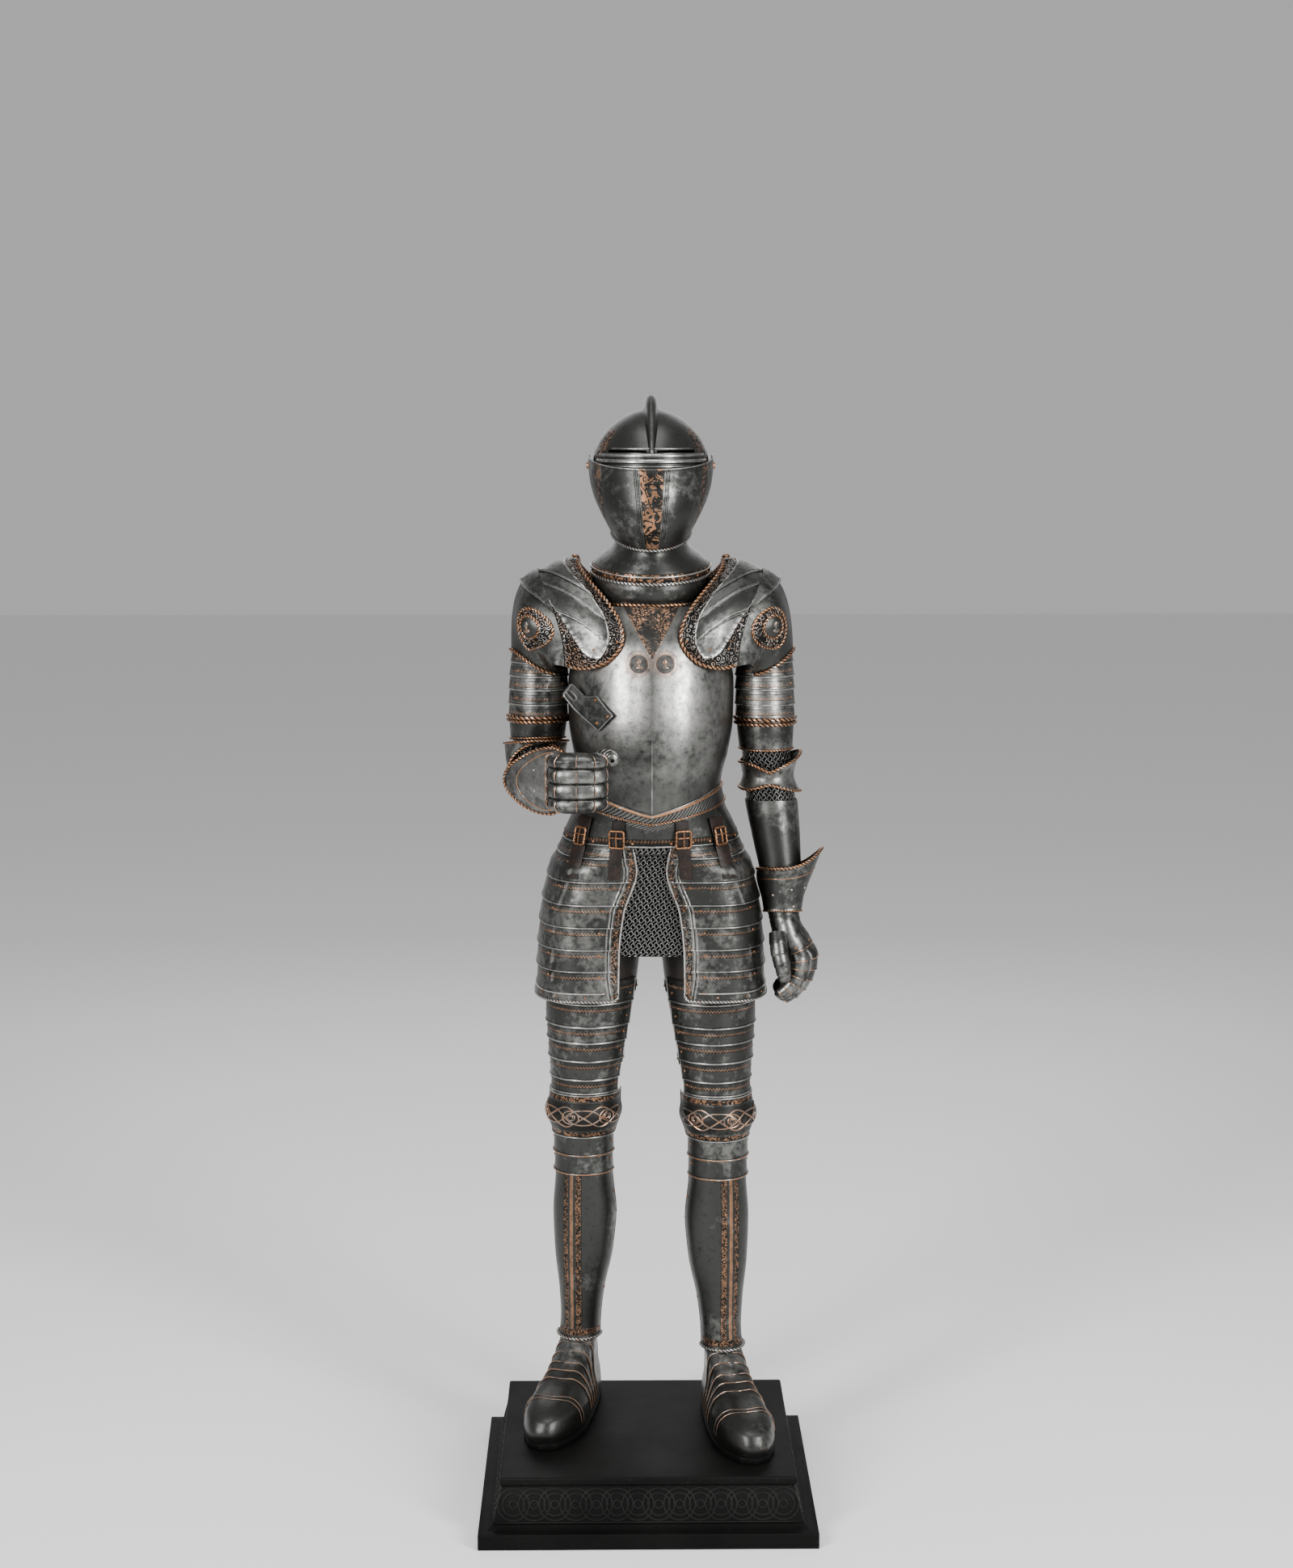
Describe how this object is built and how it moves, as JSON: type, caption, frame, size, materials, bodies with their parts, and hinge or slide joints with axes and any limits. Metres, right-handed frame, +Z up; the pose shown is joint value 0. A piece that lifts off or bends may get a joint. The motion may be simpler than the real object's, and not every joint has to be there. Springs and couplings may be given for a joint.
{
  "type": "suit of plate armour on a plinth",
  "caption": "Life-size antique-finish suit of plate armour with closed helmet, etched borders and mail skirt, one gauntlet closed, standing on a black plinth.",
  "frame": {"origin": "centre of the plinth's underside", "axes": "+Z up, -Y the way the suit faces, +X the wearer's left"},
  "size_m": [0.5915, 0.512, 1.9139],
  "materials": {
    "armour_steel": "antiqued polished steel with copper-rubbed borders",
    "mail": "darkened rings",
    "copper": "aged copper",
    "strap_leather": "dark brown, waxed",
    "hose": "black-brown satin",
    "plinth": "matte black"
  },
  "bodies": {
    "armour": {"plinth_foot": "plinth", "plinth_frieze": "plinth", "plinth_slab": "plinth", "breastplate": "armour_steel", "backplate": "armour_steel", "fauld": "armour_steel", "collar": "armour_steel", "throat_plate": "armour_steel", "helmet_skull": "armour_steel", "helmet_comb": "armour_steel", "lance_rest": "armour_steel", "mail_skirt": "mail", "visor_washer_left": "strap_leather", "tasset_left": "armour_steel", "strap_inner_left": "strap_leather", "strap_outer_left": "strap_leather", "buckle_inner_left": "copper", "buckle_outer_left": "copper", "arming_hose_left": "hose", "sole_left": "hose", "cuisse_left": "armour_steel", "poleyn_left": "armour_steel", "knee_lames_left": "armour_steel", "greave_left": "armour_steel", "sabaton_left": "armour_steel", "rerebrace_left": "armour_steel", "couter_left": "armour_steel", "vambrace_left": "armour_steel", "gauntlet_cuff_left": "armour_steel", "gauntlet_hand_left": "armour_steel", "gauntlet_thumb_left": "armour_steel", "pauldron_left": "armour_steel", "shoulder_cap_left": "armour_steel", "mail_sleeve_left": "mail", "visor_washer_right": "strap_leather", "tasset_right": "armour_steel", "strap_inner_right": "strap_leather", "strap_outer_right": "strap_leather", "buckle_inner_right": "copper", "buckle_outer_right": "copper", "arming_hose_right": "hose", "sole_right": "hose", "cuisse_right": "armour_steel", "poleyn_right": "armour_steel", "knee_lames_right": "armour_steel", "greave_right": "armour_steel", "sabaton_right": "armour_steel", "rerebrace_right": "armour_steel", "couter_right": "armour_steel", "vambrace_right": "armour_steel", "gauntlet_cuff_right": "armour_steel", "gauntlet_hand_right": "armour_steel", "gauntlet_thumb_right": "armour_steel", "pauldron_right": "armour_steel", "shoulder_cap_right": "armour_steel", "mail_sleeve_right": "mail"},
    "visor": {"visor": "armour_steel", "visor_bolt_left": "copper", "visor_bolt_right": "copper"}
  },
  "joints": [
    {"name": "visor_hinge", "type": "hinge", "parent": "armour", "child": "visor", "pos_m": [0.008, 0.085, 1.792], "axis": [-1, 0, 0], "range_deg": [0, 60]}
  ]
}
